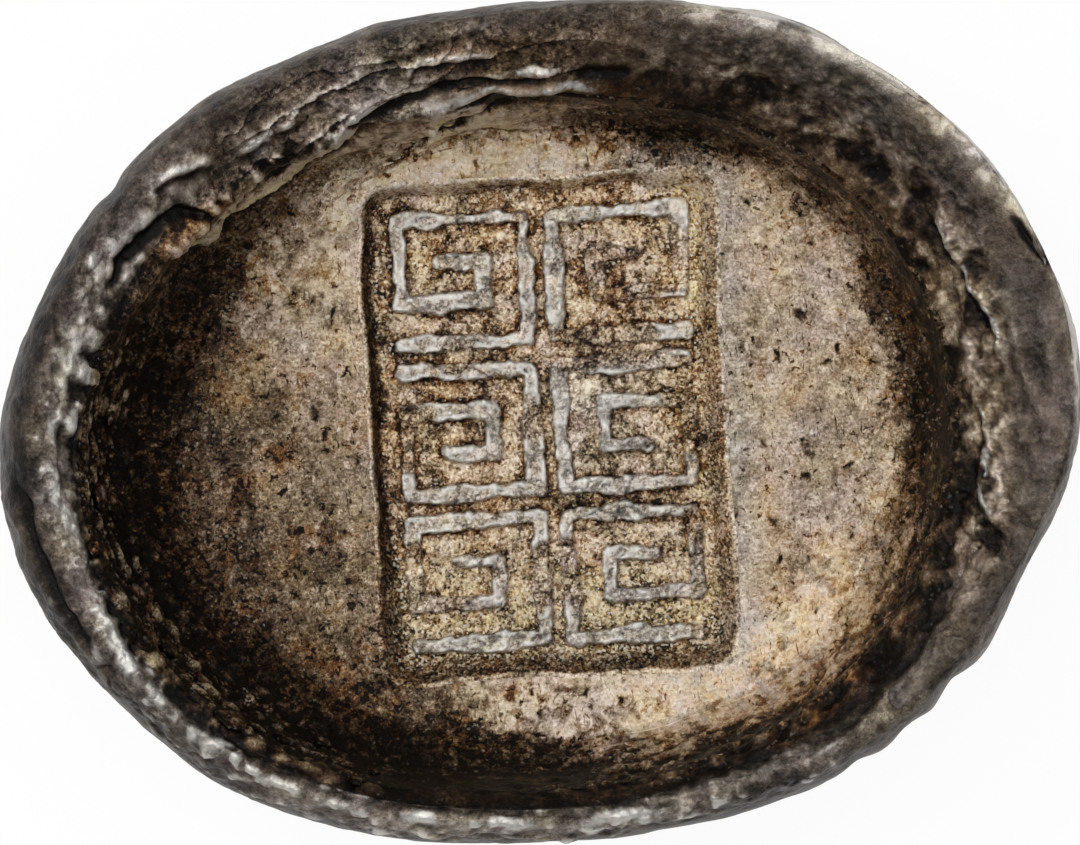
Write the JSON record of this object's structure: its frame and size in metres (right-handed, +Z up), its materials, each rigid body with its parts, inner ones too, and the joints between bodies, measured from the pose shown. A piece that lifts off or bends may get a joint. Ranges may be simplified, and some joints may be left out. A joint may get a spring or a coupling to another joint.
{
  "type": "silver sycee ingot",
  "caption": "Oval trough-shaped cast silver ingot with a raised lapped rim, a sunk stamped panel with a square fret on its floor, and a flat base.",
  "frame": {"origin": "on the surface that the ingot stands on, under the middle of its outline", "axes": "+Z up, out of the open side; +X along the oval's length, towards the right-hand end in the picture; +Y towards the top of the picture"},
  "size_m": [0.057, 0.0444, 0.02],
  "materials": {
    "shell_silver": "cast silver, tarnished dark grey, worn paler on the crest",
    "floor_silver": "cast silver, tarnished tan and olive brown, worn pale on raised lines",
    "lap_silver": "cast silver, tarnished brown with worn pale edges",
    "strata_silver": "cast silver, dark brown tarnish between layers",
    "skin_silver": "cast silver skin, smooth dark grey tarnish",
    "sulphide_crust": "black silver sulphide crust, rough and dull",
    "bead_silver": "cast silver, worn bright"
  },
  "bodies": {
    "root": {"chilled_shell": "shell_silver", "floor_pool": "floor_silver", "main_lap": "lap_silver", "second_lap": "lap_silver", "top_strata": "strata_silver", "grey_skin": "skin_silver", "outer_skin": "skin_silver", "wall_crust": "sulphide_crust", "silver_beads": "bead_silver"}
  },
  "joints": []
}
